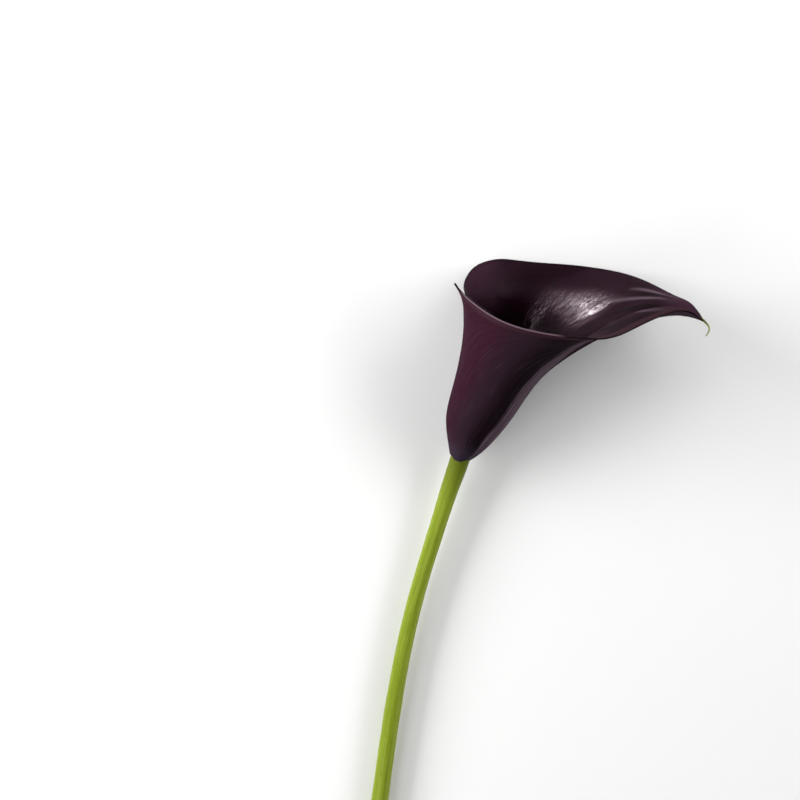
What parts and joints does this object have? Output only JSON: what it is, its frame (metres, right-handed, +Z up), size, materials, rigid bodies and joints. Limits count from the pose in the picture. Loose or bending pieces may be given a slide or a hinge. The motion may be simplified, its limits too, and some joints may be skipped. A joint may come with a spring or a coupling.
{
  "type": "arum lily flower",
  "caption": "Cut arum lily flower with a dark plum funnel-shaped spathe, a hidden spadix and a slim green stem, lying on a surface.",
  "frame": {"origin": "middle of the laid flower's footprint, on the surface that it lies on", "axes": "+Z up from the surface, +Y along the flower from the cut end of the stem to the bloom, +X to the side that the tail points to"},
  "size_m": [0.1434, 0.274, 0.0609],
  "materials": {
    "stem_green": "smooth fresh green stalk with a soft sheen and fine lengthwise streaks",
    "spathe_plum": "satin, nearly black plum, redder on the outside, with a paler mauve margin and a green tail",
    "spadix_dusky": "matte crowded florets, dusky plum dusted with pollen"
  },
  "bodies": {
    "root": {"stem": "stem_green", "spathe": "spathe_plum", "spadix": "spadix_dusky"}
  },
  "joints": []
}
